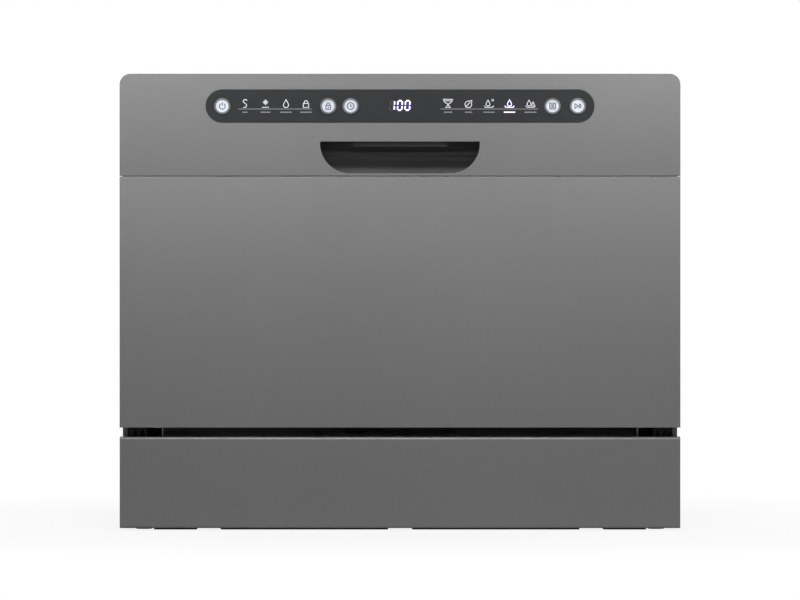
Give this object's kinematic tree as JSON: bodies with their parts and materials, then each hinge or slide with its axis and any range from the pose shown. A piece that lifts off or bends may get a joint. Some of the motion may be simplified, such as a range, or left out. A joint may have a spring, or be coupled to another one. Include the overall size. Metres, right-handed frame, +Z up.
{
  "type": "countertop dishwasher",
  "caption": "Countertop dishwasher in metallic grey with a drop-down door, push-button controls in a dark window, a recessed latch handle and a wheeled rack with a cutlery basket.",
  "frame": {"origin": "middle of the footprint, on the surface that the feet stand on", "axes": "+X to the right seen from the front, along the width; +Y from the door to the back; +Z up"},
  "size_m": [0.55, 0.5012, 0.448],
  "materials": {
    "paint": "metallic grey paint on steel sheet",
    "fascia_paint": "metallic grey paint on moulded plastic",
    "window": "dark glossy acrylic",
    "button": "silver coated plastic",
    "black_plastic": "fine textured black moulding",
    "stainless": "fine brushed",
    "galvanised": "zinc coated",
    "rubber": "matt",
    "grey_plastic": "satin grey moulding",
    "white_plastic": "satin white moulding",
    "coated_wire": "grey nylon coated steel wire",
    "circuit_board": "lacquered board"
  },
  "bodies": {
    "root": {"base_tray": "black_plastic", "rubber_feet": "rubber", "plinth": "paint", "left_side_panel": "paint", "right_side_panel": "paint", "top_panel": "paint", "rear_cover": "galvanised", "tub": "stainless", "door_gasket": "rubber", "lower_tub_seal": "rubber", "left_hinge_bracket": "galvanised", "right_hinge_bracket": "galvanised", "door_springs": "galvanised", "latch_striker": "galvanised", "sump": "grey_plastic", "filter_plate": "stainless", "spray_hub": "grey_plastic", "softener": "white_plastic", "wash_pump": "black_plastic", "drain_pump": "black_plastic", "heater": "stainless", "inlet_valve": "white_plastic", "drain_outlet": "grey_plastic", "air_break": "white_plastic", "drain_hose": "rubber", "fill_hose": "rubber", "float_switch": "black_plastic", "cable_gland": "black_plastic", "cabinet_screws": "galvanised"},
    "micro_filter": {"micro_filter": "grey_plastic"},
    "spray_arm": {"spray_arm": "grey_plastic"},
    "salt_cap": {"salt_cap": "grey_plastic"},
    "pump_impeller": {"pump_impeller": "white_plastic"},
    "overflow_float": {"overflow_float": "white_plastic"},
    "door": {"door_skin": "paint", "control_fascia": "fascia_paint", "control_lens": "window", "control_board": "circuit_board", "handle_cup": "black_plastic", "inner_door": "stainless", "dispenser_body": "grey_plastic", "left_hinge_arm": "galvanised", "right_hinge_arm": "galvanised", "door_screws": "galvanised"},
    "power_button": {"power_button": "button"},
    "lock_button": {"lock_button": "button"},
    "delay_button": {"delay_button": "button"},
    "program_button": {"program_button": "button"},
    "start_button": {"start_button": "button"},
    "handle_lever": {"handle_lever": "black_plastic"},
    "latch_hook": {"latch_hook": "galvanised"},
    "dispenser_lid": {"dispenser_lid": "white_plastic"},
    "rinse_aid_cap": {"rinse_aid_cap": "white_plastic"},
    "rack": {"rack_frame": "coated_wire"},
    "front_left_wheel": {"front_left_wheel": "white_plastic"},
    "front_right_wheel": {"front_right_wheel": "white_plastic"},
    "rear_left_wheel": {"rear_left_wheel": "white_plastic"},
    "rear_right_wheel": {"rear_right_wheel": "white_plastic"},
    "cutlery_basket": {"cutlery_basket": "grey_plastic"},
    "cup_shelf": {"cup_shelf": "grey_plastic"}
  },
  "joints": [
    {"name": "door_hinge", "type": "hinge", "parent": "root", "child": "door", "pos_m": [0, -0.2374, 0.106], "axis": [1, 0, 0], "range_deg": [0, 90], "stiffness_Nm_per_rad": 3.2, "springref_deg": -8.59, "deforming": ["door_springs"]},
    {"name": "rack_slide", "type": "slide", "parent": "root", "child": "rack", "axis": [0, -1, 0], "range_m": [0, 0.3]},
    {"name": "front_left_wheel_spin", "type": "hinge", "parent": "rack", "child": "front_left_wheel", "pos_m": [-0.225, -0.0599, 0.1705], "axis": [1, 0, 0], "continuous": true},
    {"name": "front_right_wheel_spin", "type": "hinge", "parent": "rack", "child": "front_right_wheel", "pos_m": [0.225, -0.0599, 0.1705], "axis": [1, 0, 0], "continuous": true},
    {"name": "rear_left_wheel_spin", "type": "hinge", "parent": "rack", "child": "rear_left_wheel", "pos_m": [-0.225, 0.1701, 0.1705], "axis": [1, 0, 0], "continuous": true},
    {"name": "rear_right_wheel_spin", "type": "hinge", "parent": "rack", "child": "rear_right_wheel", "pos_m": [0.225, 0.1701, 0.1705], "axis": [1, 0, 0], "continuous": true},
    {"name": "cutlery_basket_lift", "type": "slide", "parent": "rack", "child": "cutlery_basket", "axis": [0, 0, 1], "range_m": [0, 0.108]},
    {"name": "cup_shelf_fold", "type": "hinge", "parent": "rack", "child": "cup_shelf", "pos_m": [-0.216, 0.0276, 0.296], "axis": [0, -1, 0], "range_deg": [0, 85]},
    {"name": "spray_arm_spin", "type": "hinge", "parent": "root", "child": "spray_arm", "pos_m": [0, 0.0206, 0.175], "axis": [0, 0, 1], "continuous": true},
    {"name": "pump_impeller_spin", "type": "hinge", "parent": "root", "child": "pump_impeller", "pos_m": [0.075, 0.0956, 0.09], "axis": [0, 1, 0], "continuous": true},
    {"name": "micro_filter_turn", "type": "hinge", "parent": "root", "child": "micro_filter", "pos_m": [0.07, -0.0344, 0.156], "axis": [0, 0, 1], "range_deg": [0, 60]},
    {"name": "salt_cap_turn", "type": "hinge", "parent": "root", "child": "salt_cap", "pos_m": [-0.13, -0.0344, 0.158], "axis": [0, 0, 1], "range_deg": [0, 90]},
    {"name": "overflow_float_rise", "type": "slide", "parent": "root", "child": "overflow_float", "axis": [0, 0, 1], "range_m": [0, 0.008]},
    {"name": "power_button_press", "type": "slide", "parent": "door", "child": "power_button", "axis": [0, 1, 0], "range_m": [0, 0.001], "stiffness_N_per_m": 400, "springref_m": -0.0005},
    {"name": "lock_button_press", "type": "slide", "parent": "door", "child": "lock_button", "axis": [0, 1, 0], "range_m": [0, 0.001], "stiffness_N_per_m": 400, "springref_m": -0.0005},
    {"name": "delay_button_press", "type": "slide", "parent": "door", "child": "delay_button", "axis": [0, 1, 0], "range_m": [0, 0.001], "stiffness_N_per_m": 400, "springref_m": -0.0005},
    {"name": "program_button_press", "type": "slide", "parent": "door", "child": "program_button", "axis": [0, 1, 0], "range_m": [0, 0.001], "stiffness_N_per_m": 400, "springref_m": -0.0005},
    {"name": "start_button_press", "type": "slide", "parent": "door", "child": "start_button", "axis": [0, 1, 0], "range_m": [0, 0.001], "stiffness_N_per_m": 400, "springref_m": -0.0005},
    {"name": "handle_lever_pull", "type": "hinge", "parent": "door", "child": "handle_lever", "pos_m": [0, -0.2354, 0.386], "axis": [-1, 0, 0], "range_deg": [0, 24], "stiffness_Nm_per_rad": 0.15, "springref_deg": -11.46},
    {"name": "latch_hook_turn", "type": "hinge", "parent": "door", "child": "latch_hook", "pos_m": [0, -0.2344, 0.434], "axis": [1, 0, 0], "range_deg": [0, 12]},
    {"name": "dispenser_lid_slide", "type": "slide", "parent": "door", "child": "dispenser_lid", "axis": [1, 0, 0], "range_m": [0, 0.045]},
    {"name": "rinse_aid_cap_turn", "type": "hinge", "parent": "door", "child": "rinse_aid_cap", "pos_m": [0.049, -0.1854, 0.259], "axis": [0, 1, 0], "range_deg": [0, 90]}
  ],
  "couplings": [
    {"joint": "rack_slide", "follows": "door_hinge", "m_per_rad": 0.11},
    {"joint": "front_left_wheel_spin", "follows": "door_hinge", "ratio": 7.8571},
    {"joint": "front_right_wheel_spin", "follows": "door_hinge", "ratio": 7.8571},
    {"joint": "rear_left_wheel_spin", "follows": "door_hinge", "ratio": 7.8571},
    {"joint": "rear_right_wheel_spin", "follows": "door_hinge", "ratio": 7.8571},
    {"joint": "latch_hook_turn", "follows": "handle_lever_pull", "ratio": 0.5}
  ]
}
